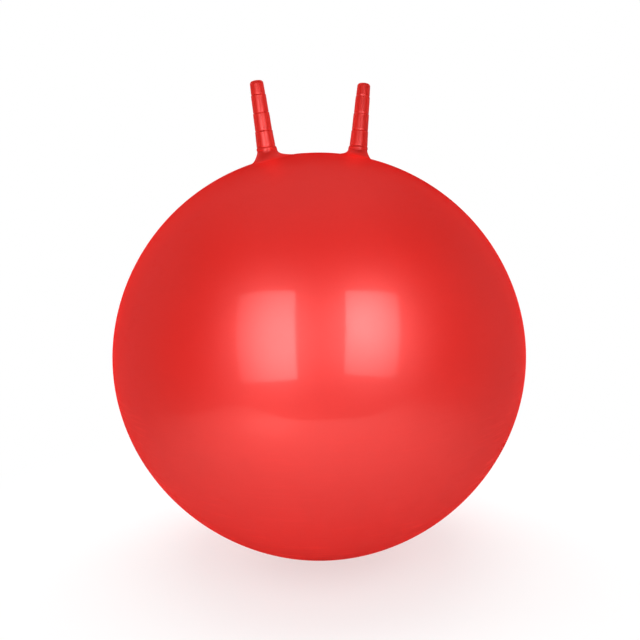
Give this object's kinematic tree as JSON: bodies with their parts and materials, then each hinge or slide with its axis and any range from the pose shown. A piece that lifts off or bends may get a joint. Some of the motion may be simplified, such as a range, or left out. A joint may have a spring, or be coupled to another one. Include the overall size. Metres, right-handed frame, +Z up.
{
  "type": "hopper ball",
  "caption": "Red inflatable hopper ball with stepped, flexible vinyl horns to hold at the top and a flush push-in stopper valve behind them.",
  "frame": {"origin": "on the floor, at the centre of the flat patch that the ball rests on", "axes": "+Z up, the horns stand apart along X with the left horn on -X, and the valve is on the +Y side of the crown"},
  "size_m": [0.4992, 0.4992, 0.5738],
  "materials": {
    "skin_vinyl": "glossy soft vinyl",
    "horn_vinyl": "glossy soft vinyl",
    "stopper_plastic": "semi-gloss flexible plastic"
  },
  "bodies": {
    "ball": {"ball_skin": "skin_vinyl", "valve_seat": "skin_vinyl"},
    "left_root": {"left_horn_root": "horn_vinyl"},
    "right_root": {"right_horn_root": "horn_vinyl"},
    "left_horn": {"left_horn": "horn_vinyl"},
    "right_horn": {"right_horn": "horn_vinyl"},
    "stopper": {"valve_plug": "stopper_plastic"}
  },
  "joints": [
    {"name": "left_horn_fore_aft", "type": "hinge", "parent": "ball", "child": "left_root", "pos_m": [-0.05901, 0, 0.48919], "axis": [1, 0, 0], "range_deg": [-25, 25], "stiffness_Nm_per_rad": 1.5, "deforming": ["left_horn_root"]},
    {"name": "left_horn_sideways", "type": "hinge", "parent": "left_root", "child": "left_horn", "pos_m": [-0.06084, 0, 0.50408], "axis": [0, 1, 0], "range_deg": [-20, 20], "stiffness_Nm_per_rad": 1.5, "deforming": ["left_horn_root"]},
    {"name": "right_horn_fore_aft", "type": "hinge", "parent": "ball", "child": "right_root", "pos_m": [0.05901, 0, 0.48919], "axis": [1, 0, 0], "range_deg": [-25, 25], "stiffness_Nm_per_rad": 1.5, "deforming": ["right_horn_root"]},
    {"name": "right_horn_sideways", "type": "hinge", "parent": "right_root", "child": "right_horn", "pos_m": [0.06084, 0, 0.50408], "axis": [0, 1, 0], "range_deg": [-20, 20], "stiffness_Nm_per_rad": 1.5, "deforming": ["right_horn_root"]},
    {"name": "stopper_pull", "type": "slide", "parent": "ball", "child": "stopper", "axis": [0, 0.179, 0.9838], "range_m": [0, 0.03]}
  ]
}
